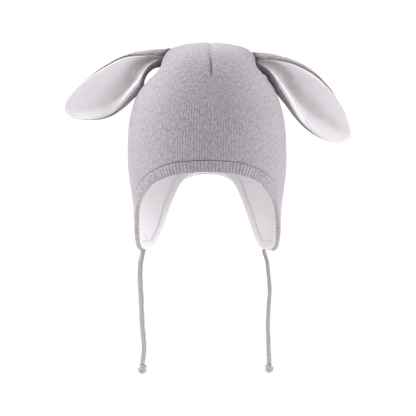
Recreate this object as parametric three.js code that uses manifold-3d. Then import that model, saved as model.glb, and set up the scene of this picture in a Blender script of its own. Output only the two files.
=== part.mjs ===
// A baby's knitted hat with two drooping ears, two ear flaps and a hanging tie under each flap.
// Lengths are in millimetres. +Z is up and the face opening looks toward -Y.
// The origin is the top of the hollow, on the inner face of the lining: the point that rests on the head.

import * as THREE from 'three';
import { mergeVertices } from 'three/addons/utils/BufferGeometryUtils.js';
import Module from 'manifold-3d';

// The hat over its knit.
const crownWidth = 142.4;
const frontDepth = 83;
const backDepth = 86;
const hatHeight = 189;
const sectionPower = 2.15;

// Its layers, from the outside in.
const knitWall = 2;
const layerGap = 0.4;
const liningWall = 1.2;
const facingExtra = 0.7;

// The ribbed edge.
const bandWidth = 9.5;
const bandBulge = 0.7;
const seamGap = 0.3;

// The darts.
const frontDartTurn = 3;
const frontDartWidth = 2.2;
const frontDartDepth = 1.6;
const frontDartLength = 32;
const pinchDepth = 13;
const pinchWidth = 33;
const pinchLength = 12.5;

// The ears.
const earLength = 108;
const earWidth = 42;
const earTrough = 10;
const earKnitWall = 1.6;
const earFleeceWall = 2.2;
const earLip = 2.6;
const earGap = 0.3;
const earSeat = 0.7;

// The ties.
const tieDiameter = 4;
const tieGap = 0.3;
const knotWidth = 7.6;
const knotHeight = 9.4;

// Tables. Heights of the crown are shares of hatHeight, measured down from the top of the knit.
// Its half width and its two half depths are shares of crownWidth / 2, frontDepth and backDepth.
const crownRows = [
  { drop: 0, width: 0, front: 0, back: 0 },
  { drop: 0.0063, width: 0.25, front: 0.25, back: 0.25 },
  { drop: 0.0243, width: 0.478, front: 0.49, back: 0.49 },
  { drop: 0.053, width: 0.611, front: 0.65, back: 0.66 },
  { drop: 0.09, width: 0.695, front: 0.76, back: 0.775 },
  { drop: 0.1375, width: 0.747, front: 0.845, back: 0.862 },
  { drop: 0.188, width: 0.798, front: 0.9, back: 0.92 },
  { drop: 0.237, width: 0.868, front: 0.938, back: 0.955 },
  { drop: 0.302, width: 0.933, front: 0.975, back: 0.985 },
  { drop: 0.397, width: 0.984, front: 1, back: 1 },
  { drop: 0.5185, width: 1, front: 0.995, back: 0.99 },
  { drop: 0.619, width: 0.992, front: 0.98, back: 0.945 },
  { drop: 0.7355, width: 0.95, front: 0.95, back: 0.87 },
  { drop: 0.852, width: 0.92, front: 0.91, back: 0.8 },
  { drop: 1, width: 0.903, front: 0.87, back: 0.76 },
];

// The rim, from the middle of the front round one side to the middle of the back, in degrees.
const rimRows = [
  { turn: 0, drop: 0.602 },
  { turn: 11, drop: 0.606 },
  { turn: 22, drop: 0.616 },
  { turn: 33, drop: 0.639 },
  { turn: 44, drop: 0.671 },
  { turn: 56, drop: 0.722 },
  { turn: 67, drop: 0.777 },
  { turn: 77, drop: 0.845 },
  { turn: 86, drop: 0.92 },
  { turn: 95, drop: 0.966 },
  { turn: 104, drop: 0.993 },
  { turn: 111, drop: 1 },
  { turn: 119, drop: 0.995 },
  { turn: 128, drop: 0.966 },
  { turn: 136, drop: 0.918 },
  { turn: 143, drop: 0.853 },
  { turn: 150, drop: 0.777 },
  { turn: 157, drop: 0.703 },
  { turn: 164, drop: 0.66 },
  { turn: 172, drop: 0.641 },
  { turn: 180, drop: 0.635 },
];

// How deep the front dart lies along its length, as a share of frontDartDepth.
const dartRows = [
  { along: 0, depth: 0.6 },
  { along: 0.3, depth: 0.45 },
  { along: 0.55, depth: 0.6 },
  { along: 0.8, depth: 1 },
  { along: 0.97, depth: 0.8 },
  { along: 1.15, depth: 0.2 },
  { along: 1.3, depth: 0 },
];

// Rings of points down the crown: the upper ones are steps of crownRows, the lower ones are shares
// of the way from the last of those to the lower edge.
const upperSteps = [0.5, 1.15, 1.9, 2.6, 3.3, 4, 4.7, 5.5, 6.5, 7.7];
const lowerShares = [0.25, 0.5, 0.75, 1];

// The ribbed edge in section. Across is a share of bandWidth down from its seam, and out is a share
// of bandBulge; the inner face lies one knitWall in.
const bandOutside = [
  { across: 0, out: 0.2 },
  { across: 0.3, out: 0.9 },
  { across: 0.62, out: 1 },
  { across: 0.9, out: 0.3 },
];
const bandInside = [0.9, 0.45, 0];

// The lining along the edge: across as above, and how much of facingExtra stands out.
const facingRows = [
  { across: 0.05, out: -0.5 },
  { across: 0.25, out: 1 },
  { across: 0.82, out: 0.9 },
];

// The ears in stations along their length. Width is a share of earWidth, trough of earTrough, low is
// the share of the width under the deepest line, the rolls are how far past a quarter turn the rims
// curl in, in degrees, lip is a share of earLip, and wall is a share of the two layers' walls.
const earRows = [
  { along: 0, width: 0.44, trough: 0.75, low: 0.5, rollUp: 34, rollDown: 30, lip: 0, wall: 1 },
  { along: 0.054, width: 0.46, trough: 0.8, low: 0.49, rollUp: 34, rollDown: 32, lip: 0.2, wall: 1 },
  { along: 0.12, width: 0.525, trough: 0.95, low: 0.46, rollUp: 26, rollDown: 34, lip: 0.6, wall: 1 },
  { along: 0.191, width: 0.61, trough: 1.1, low: 0.42, rollUp: 14, rollDown: 32, lip: 1, wall: 1 },
  { along: 0.271, width: 0.74, trough: 1.15, low: 0.38, rollUp: 5, rollDown: 26, lip: 1, wall: 1 },
  { along: 0.369, width: 0.867, trough: 1.1, low: 0.35, rollUp: 0, rollDown: 18, lip: 0.9, wall: 1 },
  { along: 0.478, width: 0.952, trough: 0.98, low: 0.34, rollUp: -6, rollDown: 10, lip: 0.7, wall: 1 },
  { along: 0.583, width: 0.962, trough: 0.82, low: 0.35, rollUp: -14, rollDown: 0, lip: 0.5, wall: 1 },
  { along: 0.693, width: 0.943, trough: 0.66, low: 0.38, rollUp: -24, rollDown: -14, lip: 0.35, wall: 1 },
  { along: 0.788, width: 0.833, trough: 0.5, low: 0.42, rollUp: -34, rollDown: -28, lip: 0.25, wall: 1 },
  { along: 0.874, width: 0.643, trough: 0.32, low: 0.46, rollUp: -44, rollDown: -42, lip: 0.2, wall: 1 },
  { along: 0.936, width: 0.43, trough: 0.18, low: 0.5, rollUp: -50, rollDown: -50, lip: 0, wall: 0.9 },
  { along: 0.975, width: 0.25, trough: 0.08, low: 0.5, rollUp: -55, rollDown: -55, lip: 0, wall: 0.75 },
  { along: 1, width: 0.12, trough: 0.03, low: 0.5, rollUp: -60, rollDown: -60, lip: 0, wall: 0.5 },
];
const earRims = [-1, -0.88, -0.72, -0.52, -0.28, 0, 0.28, 0.52, 0.74, 0.9, 1];

// How each ear lies: where its root meets the side of the crown, as a share of hatHeight, how deep the
// crown is gathered there, as a share of pinchDepth, and along its length its direction below the
// horizontal and how far the top of its section leans out, in degrees.
const earPoses = {
  left: {
    side: -1,
    rootDrop: 0.073,
    gather: 1,
    line: [
      { along: 0, angle: 8, lean: -29 },
      { along: 0.06, angle: 14, lean: -24 },
      { along: 0.12, angle: 24, lean: -13 },
      { along: 0.19, angle: 28, lean: 5 },
      { along: 0.27, angle: 31, lean: 23 },
      { along: 0.37, angle: 35, lean: 33 },
      { along: 0.48, angle: 37, lean: 38 },
      { along: 0.69, angle: 34, lean: 37 },
      { along: 0.79, angle: 27, lean: 34 },
      { along: 0.87, angle: 22, lean: 32 },
      { along: 1, angle: 12, lean: 25 },
    ],
  },
  right: {
    side: 1,
    rootDrop: 0.093,
    gather: 0.56,
    line: [
      { along: 0, angle: 9, lean: -18 },
      { along: 0.06, angle: 17, lean: -8 },
      { along: 0.12, angle: 26, lean: 5 },
      { along: 0.19, angle: 35, lean: 18 },
      { along: 0.27, angle: 40, lean: 27 },
      { along: 0.37, angle: 44, lean: 32 },
      { along: 0.48, angle: 48, lean: 33 },
      { along: 0.69, angle: 45, lean: 34 },
      { along: 0.87, angle: 40, lean: 31 },
      { along: 1, angle: 28, lean: 22 },
    ],
  },
};

// Where the ties leave the rim, in degrees of turn.
const tieTurns = { left: -112, right: 123 };

// The ties: points below the place where each leaves the rim. Out is away from the middle of the hat.
const tiePoints = {
  left: [
    { out: 0, ahead: 0, down: 0 },
    { out: -0.1, ahead: 0, down: 2 },
    { out: 2.2, ahead: 0.3, down: 6.5 },
    { out: 3.6, ahead: 0.6, down: 12 },
    { out: 4.1, ahead: 0.8, down: 23 },
    { out: 3.8, ahead: 0.6, down: 34 },
    { out: 3.2, ahead: 0.2, down: 45 },
    { out: 2.8, ahead: 0, down: 56 },
    { out: 2.3, ahead: 0, down: 67 },
    { out: 1.4, ahead: 0.2, down: 78 },
    { out: 0.6, ahead: 0.4, down: 88 },
    { out: 1.2, ahead: 0.4, down: 96 },
    { out: 2.2, ahead: 0.4, down: 102.5 },
  ],
  right: [
    { out: 0, ahead: 0, down: 0 },
    { out: -0.1, ahead: 0, down: 2 },
    { out: 1.2, ahead: 0.3, down: 6.5 },
    { out: 2.8, ahead: 0.5, down: 12 },
    { out: 4, ahead: 0.6, down: 23 },
    { out: 5, ahead: 0.5, down: 34 },
    { out: 5.1, ahead: 0.2, down: 42 },
    { out: 4.4, ahead: 0, down: 51 },
    { out: 3.8, ahead: 0, down: 62 },
    { out: 3.5, ahead: 0.2, down: 73 },
    { out: 4, ahead: 0.4, down: 84 },
    { out: 4.3, ahead: 0.4, down: 94 },
    { out: 4.8, ahead: 0.4, down: 104 },
  ],
};

// The knots: how they lean, in degrees, and the short end below.
const knotPoses = {
  left: { lean: 22, tail: 0.42 },
  right: { lean: -14, tail: 0.2 },
};

const rad = Math.PI / 180;
const pinchMiddle = hatHeight * 0.1;
const sideRadius = (crownWidth + frontDepth + backDepth) / 4;
const dartAcross = new THREE.Vector2(Math.cos(frontDartTurn * rad), Math.sin(frontDartTurn * rad));

const greyKnit = new THREE.MeshStandardMaterial({ color: 0xa59ca3, roughness: 0.95, metalness: 0 });
const greyRib = new THREE.MeshStandardMaterial({ color: 0xa1989f, roughness: 0.95, metalness: 0 });
const whiteJersey = new THREE.MeshStandardMaterial({ color: 0xece8ec, roughness: 0.9, metalness: 0 });
const whiteFleece = new THREE.MeshStandardMaterial({ color: 0xe6e1e5, roughness: 1, metalness: 0 });
const greyCord = new THREE.MeshStandardMaterial({ color: 0xb7afb4, roughness: 0.95, metalness: 0 });

// A smooth curve through four values, at share u between the second and the third.
function smooth(a, b, c, d, u) {
  const bend = 2 * a - 5 * b + 4 * c - d;
  const twist = 3 * b - a - 3 * c + d;
  return 0.5 * (2 * b + (c - a) * u + bend * u * u + twist * u * u * u);
}

// A column of a table at a place given by another of its columns, along a smooth curve.
function tableValue(rows, key, at, column) {
  const last = rows.length - 1;
  let index = 0;
  while (index < last - 1 && rows[index + 1][key] < at) {
    index += 1;
  }
  const run = rows[index + 1][key] - rows[index][key];
  const u = Math.min(Math.max((at - rows[index][key]) / run, 0), 1);
  const before = rows[Math.max(index - 1, 0)][column];
  const after = rows[Math.min(index + 2, last)][column];
  return smooth(before, rows[index][column], rows[index + 1][column], after, u);
}

// A column of crownRows at a step, 0 for the first row, as if the far side of the top came before it.
function profile(step, column) {
  const last = crownRows.length - 1;
  const at = Math.min(Math.max(step, 0), last - 1e-9);
  const index = Math.floor(at);
  const value = (row) => {
    if (row < 0) {
      return column === 'drop' ? crownRows[1].drop : -crownRows[1][column];
    }
    if (row > last) {
      return 2 * crownRows[last][column] - crownRows[last - 1][column];
    }
    return crownRows[row][column];
  };
  return smooth(value(index - 1), value(index), value(index + 1), value(index + 2), at - index);
}

function stepAtDrop(drop) {
  let low = 0;
  let high = crownRows.length - 1;
  for (let i = 0; i < 40; i += 1) {
    const middle = (low + high) / 2;
    if (profile(middle, 'drop') * hatHeight < drop) {
      low = middle;
    } else {
      high = middle;
    }
  }
  return (low + high) / 2;
}

// How far the knit is drawn in at a place: by the front dart, and where the ears are gathered in.
function dent(x, y, drop) {
  const aside = (x * dartAcross.x + y * dartAcross.y) / frontDartWidth;
  const share = drop / frontDartLength;
  const fade = 1 / (1 + Math.exp((y - frontDartWidth) / (frontDartWidth / 2)));
  const dart = tableValue(dartRows, 'along', share, 'depth') * Math.exp(-aside * aside) * fade;
  const down = (drop - pinchMiddle) / pinchLength;
  const wide = y / pinchWidth;
  const sharp = y / (pinchWidth / 5);
  const side = Math.min(Math.abs(x) / (crownWidth / 4), 1);
  const depth = pinchDepth * (x < 0 ? earPoses.left.gather : earPoses.right.gather);
  const gather = 0.88 * Math.exp(-wide * wide) + 0.12 * Math.exp(-sharp * sharp);
  return frontDartDepth * dart + depth * gather * Math.exp(-down * down) * side * side;
}

// The height of the knit's outside over the origin.
const topOfKnit = knitWall + layerGap + liningWall + dent(0, 0, 0);

// A point of the crown without its darts. Turn 0 is the front and 90 is +X.
function plainCrown(turn, step) {
  const across = Math.sin(turn * rad);
  const ahead = Math.cos(turn * rad);
  const power = 2 / sectionPower;
  const depth = ahead > 0 ? frontDepth * profile(step, 'front') : backDepth * profile(step, 'back');
  return new THREE.Vector3(
    (crownWidth / 2) * profile(step, 'width') * Math.sign(across) * Math.abs(across) ** power,
    -depth * Math.sign(ahead) * Math.abs(ahead) ** power,
    topOfKnit - hatHeight * profile(step, 'drop'),
  );
}

function crownNormal(turn, step) {
  if (step === 0) {
    return new THREE.Vector3(0, 0, 1);
  }
  const near = 0.02;
  const round = plainCrown(turn + 0.4, step).sub(plainCrown(turn - 0.4, step));
  const down = plainCrown(turn, step + near).sub(plainCrown(turn, step - near));
  return down.cross(round).normalize();
}

// A point of the crown, so far out from the outside of the knit.
function crownPoint(turn, step, out) {
  const point = plainCrown(turn, step);
  const reach = out - dent(point.x, point.y, topOfKnit - point.z);
  return point.addScaledVector(crownNormal(turn, step), reach);
}

function rimDrop(turn) {
  const folded = Math.abs(((turn + 540) % 360) - 180);
  return tableValue(rimRows, 'turn', folded, 'drop') * hatHeight;
}

// Where the ribbed edge starts: bandWidth from the rim, square to it.
function seamDrop(turn) {
  let drop = Infinity;
  for (let i = -16; i <= 16; i += 1) {
    const aside = (i / 16) * bandWidth;
    const other = turn + aside / (sideRadius * rad);
    drop = Math.min(drop, rimDrop(other) - Math.sqrt(bandWidth * bandWidth - aside * aside));
  }
  return drop;
}

// The step at a place in the ribbed edge: across is 0 at its seam and 1 at the rim.
function bandStep(turn, across) {
  const top = seamDrop(turn);
  return stepAtDrop(top + across * (rimDrop(turn) - top));
}

// The columns of points round the hat, closer together at the front dart and at the ears.
function hatTurns() {
  const turns = [];
  for (let i = 0; i < 48; i += 1) {
    turns.push(i * 7.5 - 180);
  }
  const fine = (frontDartWidth * 0.75) / (frontDepth * 0.85 * rad);
  turns.push(frontDartTurn - fine, frontDartTurn, frontDartTurn + fine);
  for (const middle of [-90, 90]) {
    turns.push(middle - 3.2, middle + 3.2);
  }
  return turns.sort((a, b) => a - b);
}

// A closed body from rings of points with the same count. Its ends are closed by the faces given,
// as places in a ring; without them the last ring runs on into the first. Where a body turns back on
// itself its squares are split the other way, so that the faces of two layers stay parallel.
function closeRings(rings, endFaces, turnedBack) {
  const count = rings[0].length;
  const positions = rings.flat().flatMap((point) => point.toArray());
  const indices = [];
  const pairs = endFaces ? rings.length - 1 : rings.length;
  for (let j = 0; j < pairs; j += 1) {
    const next = (j + 1) % rings.length;
    for (let i = 0; i < count; i += 1) {
      const after = (i + 1) % count;
      const square = [j * count + i, next * count + i, next * count + after, j * count + after];
      const [a, b, c, d] = turnedBack(j, i) ? [...square.slice(1), square[0]] : square;
      indices.push(a, b, c, a, c, d);
    }
  }
  const end = (rings.length - 1) * count;
  for (const [a, b, c] of endFaces ?? []) {
    indices.push(a, b, c, end + c, end + b, end + a);
  }
  const geometry = new THREE.BufferGeometry();
  geometry.setAttribute('position', new THREE.Float32BufferAttribute(positions, 3));
  geometry.setIndex(indices);
  return withoutSlivers(mergeVertices(geometry, 1e-4));
}

// The geometry without the triangles that a shared corner has made empty.
function withoutSlivers(geometry) {
  const kept = [];
  const all = geometry.index.array;
  for (let i = 0; i < all.length; i += 3) {
    const [a, b, c] = [all[i], all[i + 1], all[i + 2]];
    if (a !== b && b !== c && c !== a) {
      kept.push(a, b, c);
    }
  }
  geometry.setIndex(kept);
  return geometry;
}

// A list of columns of points as a list of rings.
function ringsOf(columns) {
  return columns[0].map((_, row) => columns.map((column) => column[row]));
}

// A wall between an outside and an inside, both given in columns from the top down. The top point of
// each is repeated round its ring, which closes it.
function wallBody(outside, inside, outsideTop, insideTop) {
  const topRing = (point, columns) => columns.map(() => point);
  const rings = [
    topRing(outsideTop, outside),
    ...ringsOf(outside),
    ...ringsOf(inside).reverse(),
    topRing(insideTop, inside),
  ];
  return closeRings(rings, [], (row) => row > outside[0].length);
}

// The steps down a column: the upper rings, then shares of the way to the seam of the ribbed edge.
function columnSteps(turn) {
  const upper = upperSteps[upperSteps.length - 1];
  const seam = bandStep(turn, -seamGap / bandWidth);
  return [...upperSteps, ...lowerShares.map((share) => upper + share * (seam - upper))];
}

// The knitted outer wall, down to the seam of the ribbed edge.
function crownShell(turns) {
  const wall = (out) => turns.map((turn) => {
    return columnSteps(turn).map((step) => crownPoint(turn, step, out));
  });
  return wallBody(wall(0), wall(-knitWall), crownPoint(0, 0, 0), crownPoint(0, 0, -knitWall));
}

// The ribbed edge, which runs on into itself in section.
function edgeBand(turns) {
  const columns = turns.map((turn) => {
    const outside = bandOutside.map((row) => {
      return crownPoint(turn, bandStep(turn, row.across), row.out * bandBulge);
    });
    const edge = crownPoint(turn, bandStep(turn, 1), -knitWall / 2);
    const inside = bandInside.map((across) => crownPoint(turn, bandStep(turn, across), -knitWall));
    return [...outside, edge, ...inside];
  });
  return closeRings(ringsOf(columns), null, (row) => row > bandOutside.length);
}

// The lining, with its turned facing along the edge.
function lining(turns) {
  const face = -(knitWall + layerGap);
  const edge = facingRows[facingRows.length - 1];
  const outside = turns.map((turn) => {
    const steps = [...columnSteps(turn), bandStep(turn, 0.45), bandStep(turn, edge.across)];
    return steps.map((step) => crownPoint(turn, step, face));
  });
  const inside = turns.map((turn) => {
    const plain = columnSteps(turn).map((step) => crownPoint(turn, step, face - liningWall));
    const facing = facingRows.map((row) => {
      const reach = face - liningWall - row.out * facingExtra;
      return crownPoint(turn, bandStep(turn, row.across), reach);
    });
    return [...plain, ...facing];
  });
  return wallBody(outside, inside, crownPoint(0, 0, face), crownPoint(0, 0, face - liningWall));
}

// A point of an ear's section: up from its middle and toward the front, so far out of the face where
// its two layers meet.
function earSection(row, rim, out) {
  const width = row.width * earWidth;
  const roll = 90 + (rim > 0 ? row.rollUp : row.rollDown);
  const turn = rim * roll * rad;
  const share = rim > 0 ? 1 - row.low : row.low;
  const open = Math.min(roll, 90) * rad;
  const half = (share * width - earKnitWall * row.wall) / Math.sin(open);
  const trough = (row.trough * earTrough) / (1 - Math.cos(open));
  const normal = new THREE.Vector2(trough * Math.sin(turn), -half * Math.cos(turn)).normalize();
  return new THREE.Vector2(
    half * Math.sin(turn) + (row.low - 0.5) * width + out * normal.x,
    trough * (1 - Math.cos(turn)) - 0.6 * row.trough * earTrough + out * normal.y,
  );
}

// One layer of an ear in section, out along one face and back along the other, with round rims.
function earLayer(row, near, far) {
  const outside = earRims.map((rim) => earSection(row, rim, near(row, rim)));
  const inside = earRims.map((rim) => earSection(row, rim, far(row, rim)));
  const round = (from, a, b) => {
    const middle = a.clone().add(b).multiplyScalar(0.5);
    const before = from[0].clone().add(from[1]).multiplyScalar(0.5);
    const reach = a.distanceTo(b) * 0.4;
    return middle.clone().add(middle.clone().sub(before).normalize().multiplyScalar(reach));
  };
  const last = earRims.length - 1;
  const top = round([outside[last - 1], inside[last - 1]], outside[last], inside[last]);
  const low = round([outside[1], inside[1]], outside[0], inside[0]);
  return [...outside, top, ...inside.reverse(), low];
}

// The outside of the crown met by a straight line in from the side, earSeat clear of it.
function seatOnCrown(crown, side, y, z) {
  const start = new THREE.Vector3(side * crownWidth, y, z);
  const ray = new THREE.Raycaster(start, new THREE.Vector3(-side, 0, 0));
  const [hit] = ray.intersectObject(crown);
  return hit.point.addScaledVector(hit.face.normal, earSeat);
}

// An ear layer, from its root on the crown to its tip.
function earBody(crown, pose, near, far) {
  const rootHeight = topOfKnit - pose.rootDrop * hatHeight;
  const here = seatOnCrown(crown, pose.side, 0, rootHeight);
  const rings = [];
  let before = 0;
  for (const row of earRows) {
    const pieces = 6;
    for (let i = 0; i < pieces; i += 1) {
      const along = before + ((i + 0.5) / pieces) * (row.along - before);
      const angle = tableValue(pose.line, 'along', along, 'angle') * rad;
      const run = ((row.along - before) * earLength) / pieces;
      here.x += pose.side * Math.cos(angle) * run;
      here.z -= Math.sin(angle) * run;
    }
    before = row.along;
    const lean = tableValue(pose.line, 'along', row.along, 'lean') * rad;
    rings.push(earLayer(row, near, far).map((point) => {
      const x = here.x + pose.side * Math.sin(lean) * point.x;
      const z = here.z + Math.cos(lean) * point.x;
      if (row.along === 0) {
        return seatOnCrown(crown, pose.side, -point.y, z);
      }
      return new THREE.Vector3(x, -point.y, z);
    }));
  }
  const ordered = pose.side < 0 ? rings : rings.map((ring) => [...ring].reverse());
  return closeRings(ordered, earEndFaces(pose.side > 0), (_, place) => place > earRims.length);
}

// The root and the tip of an ear layer: a strip across its two faces and a corner at each rim.
function earEndFaces(turned) {
  const last = earRims.length - 1;
  const faces = [];
  for (let i = 0; i < last; i += 1) {
    faces.push([i, i + 1, 2 * last + 1 - i], [i, 2 * last + 1 - i, 2 * last + 2 - i]);
  }
  faces.push([last, last + 1, last + 2], [2 * last + 2, 2 * last + 3, 0]);
  if (!turned) {
    return faces;
  }
  return faces.map((face) => face.map((place) => 2 * last + 3 - place).reverse());
}

// How thick the fleece stands at a rim: its wall, and the padded lip along the lower edge.
function fleeceFace(row, rim) {
  const lower = Math.max((-rim - 0.55) / 0.45, 0);
  const upper = Math.max((rim - 0.7) / 0.3, 0) * 0.35;
  const rise = Math.max(lower, upper);
  const wall = earFleeceWall * row.wall + earLip * row.lip * rise * rise * (3 - 2 * rise);
  return -(earGap + wall);
}

// A tie: a round cord along its points, from just below the tip of its flap.
function tieCurve(side, turn, points) {
  const tip = crownPoint(turn, bandStep(turn, 1), -knitWall);
  const aside = (0.6 * tieDiameter) / (sideRadius * rad);
  const drop = Math.max(rimDrop(turn - aside), rimDrop(turn), rimDrop(turn + aside));
  return new THREE.CatmullRomCurve3(points.map((point) => new THREE.Vector3(
    tip.x + side * point.out,
    tip.y - point.ahead,
    topOfKnit - drop - tieGap - point.down,
  )));
}

function tieBody(curve) {
  const section = new THREE.Shape();
  for (let i = 0; i < 8; i += 1) {
    const turn = ((i + 0.5) / 8) * 2 * Math.PI;
    const x = (tieDiameter / 2) * Math.cos(turn);
    const y = (tieDiameter / 2) * Math.sin(turn);
    if (i === 0) {
      section.moveTo(x, y);
    } else {
      section.lineTo(x, y);
    }
  }
  const steps = Math.round(curve.getLength() / (2 * tieDiameter));
  return new THREE.ExtrudeGeometry(section, { steps, extrudePath: curve });
}

// Bare triangles of a geometry as a solid, and back.
function toSolid(geometry) {
  const bare = geometry.clone();
  bare.deleteAttribute('normal');
  bare.deleteAttribute('uv');
  const merged = mergeVertices(bare, 1e-4);
  return new library.Manifold(new library.Mesh({
    numProp: 3,
    vertProperties: new Float32Array(merged.attributes.position.array),
    triVerts: new Uint32Array(merged.index.array),
  }));
}

function toGeometry(solid) {
  const mesh = solid.getMesh();
  const geometry = new THREE.BufferGeometry();
  geometry.setAttribute('position', new THREE.Float32BufferAttribute(mesh.vertProperties, 3));
  geometry.setIndex([...mesh.triVerts]);
  return geometry;
}

// An overhand knot as one body: its core, the turn of cord round it and the short end below.
function knotBody(curve, pose) {
  const end = curve.getPoint(1);
  const middle = new THREE.Vector3(end.x, end.y, end.z - tieGap - knotHeight / 2);
  const core = new THREE.SphereGeometry(knotWidth / 2, 10, 8);
  core.rotateX(Math.PI / 2);
  core.scale(0.82, 0.82, knotHeight / knotWidth);
  const turnOfCord = new THREE.TorusGeometry(knotWidth / 2 - tieDiameter * 0.42, tieDiameter * 0.42, 7, 12);
  turnOfCord.scale(1, 1, 1.15);
  turnOfCord.rotateX(pose.lean * rad);
  turnOfCord.rotateY(pose.lean * 0.6 * rad);
  const tail = new THREE.CylinderGeometry(tieDiameter * 0.4, tieDiameter * 0.5, knotHeight * 0.3, 8);
  tail.rotateX(Math.PI / 2);
  tail.translate(0, 0, -knotHeight * (0.45 + 0.1 * pose.tail));
  const body = toSolid(core).add(toSolid(turnOfCord)).add(toSolid(tail));
  return toGeometry(body).translate(middle.x, middle.y, middle.z);
}

const library = await Module();
library.setup();

const group = new THREE.Group();

// A piece with its name and its own material.
function addMesh(name, geometry, material) {
  geometry.computeVertexNormals();
  const mesh = new THREE.Mesh(geometry, material.clone());
  mesh.name = name;
  group.add(mesh);
  return mesh;
}

const turns = hatTurns();
const crown = addMesh('crown_shell', crownShell(turns), greyKnit);
addMesh('edge_band', edgeBand(turns), greyRib);
addMesh('lining', lining(turns), whiteJersey);

for (const [name, pose] of Object.entries(earPoses)) {
  const knit = earBody(crown, pose, (row) => earKnitWall * row.wall, () => 0);
  const fleece = earBody(crown, pose, () => -earGap, fleeceFace);
  addMesh(`ear_${name}_outer`, knit, greyKnit);
  addMesh(`ear_${name}_inner`, fleece, whiteFleece);
  const curve = tieCurve(pose.side, tieTurns[name], tiePoints[name]);
  addMesh(`tie_${name}`, tieBody(curve), greyCord);
  addMesh(`knot_${name}`, knotBody(curve, knotPoses[name]), greyCord);
}

export default group;
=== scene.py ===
"""A baby's knitted hat with two drooping ears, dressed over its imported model.

Sizes inside the functions are in millimetres, and meshes are written in metres. +Z is up, the face
opening looks toward -Y, and the origin is the top of the hollow, on the inner face of the lining.
"""
import math

import bpy
import numpy as np
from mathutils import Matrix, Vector


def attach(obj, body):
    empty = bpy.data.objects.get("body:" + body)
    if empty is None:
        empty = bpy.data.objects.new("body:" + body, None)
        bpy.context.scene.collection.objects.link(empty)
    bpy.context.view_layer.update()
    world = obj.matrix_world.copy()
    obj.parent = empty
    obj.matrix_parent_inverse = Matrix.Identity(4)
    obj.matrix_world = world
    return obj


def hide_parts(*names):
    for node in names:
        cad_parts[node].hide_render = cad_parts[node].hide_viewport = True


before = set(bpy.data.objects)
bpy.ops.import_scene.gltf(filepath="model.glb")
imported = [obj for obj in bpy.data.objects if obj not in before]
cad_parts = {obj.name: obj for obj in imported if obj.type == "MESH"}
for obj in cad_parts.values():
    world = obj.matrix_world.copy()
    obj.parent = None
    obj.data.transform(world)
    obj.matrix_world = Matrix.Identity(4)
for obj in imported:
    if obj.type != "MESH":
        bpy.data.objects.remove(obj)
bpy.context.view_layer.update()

bl_info = {
    "name": "Baby hat with ears",
    "version": (1, 0, 0),
    "blender": (4, 5, 0),
    "location": "View3D > Sidebar > Baby hat",
    "description": "A baby's knitted hat with drooping ears, ear flaps and ties",
    "category": "Object",
}

MM = 0.001
RAD = math.pi / 180

# The crown from its top down: drop as a share of its height, then its half width and its two half
# depths as shares of theirs.
CROWN_ROWS = np.array([
    (0, 0, 0, 0),
    (0.0063, 0.25, 0.25, 0.25),
    (0.0243, 0.478, 0.49, 0.49),
    (0.053, 0.611, 0.65, 0.66),
    (0.09, 0.695, 0.76, 0.775),
    (0.1375, 0.747, 0.845, 0.862),
    (0.188, 0.798, 0.9, 0.92),
    (0.237, 0.868, 0.938, 0.955),
    (0.302, 0.933, 0.975, 0.985),
    (0.397, 0.984, 1, 1),
    (0.5185, 1, 0.995, 0.99),
    (0.619, 0.992, 0.98, 0.945),
    (0.7355, 0.95, 0.95, 0.87),
    (0.852, 0.92, 0.91, 0.8),
    (1, 0.903, 0.87, 0.76),
], float)

# The rim: degrees from the middle of the front, and its drop as a share of the hat's height.
RIM_ROWS = np.array([
    (0, 0.602), (11, 0.606), (22, 0.616), (33, 0.639), (44, 0.671), (56, 0.722), (67, 0.777),
    (77, 0.845), (86, 0.92), (95, 0.966), (104, 0.993), (111, 1), (119, 0.995), (128, 0.966),
    (136, 0.918), (143, 0.853), (150, 0.777), (157, 0.703), (164, 0.66), (172, 0.641), (180, 0.635),
], float)

# The front dart: the share of its length, and how deep it lies.
DART_ROWS = np.array([
    (0, 0.6), (0.3, 0.45), (0.55, 0.6), (0.8, 1), (0.97, 0.8), (1.15, 0.2), (1.3, 0),
], float)

# The ears along their length: width, trough, share of the width below the deepest line, how far the
# upper and the lower rim roll in past a quarter turn, lip and wall.
EAR_ROWS = np.array([
    (0, 0.44, 0.64, 0.5, 80, 88, 0, 1),
    (0.054, 0.46, 0.74, 0.49, 66, 78, 0.15, 1),
    (0.12, 0.525, 1.0, 0.46, 46, 70, 0.6, 1),
    (0.191, 0.61, 1.22, 0.42, 28, 62, 0.85, 1),
    (0.271, 0.74, 1.3, 0.38, 14, 52, 0.9, 1),
    (0.369, 0.875, 1.22, 0.35, 5, 42, 0.9, 1),
    (0.478, 0.965, 1.05, 0.34, -4, 28, 0.85, 1),
    (0.583, 0.98, 0.85, 0.35, -14, 10, 0.7, 1),
    (0.693, 0.96, 0.66, 0.38, -26, -12, 0.5, 1),
    (0.788, 0.87, 0.5, 0.42, -38, -28, 0.35, 1),
    (0.874, 0.72, 0.32, 0.46, -48, -42, 0.2, 1),
    (0.936, 0.53, 0.18, 0.5, -54, -52, 0, 0.9),
    (0.975, 0.34, 0.08, 0.5, -58, -58, 0, 0.75),
    (1, 0.14, 0.03, 0.5, -62, -62, 0, 0.5),
], float)
WIDTH, TROUGH, LOW, ROLL_UP, ROLL_DOWN, LIP, WALL = range(1, 8)

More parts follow.
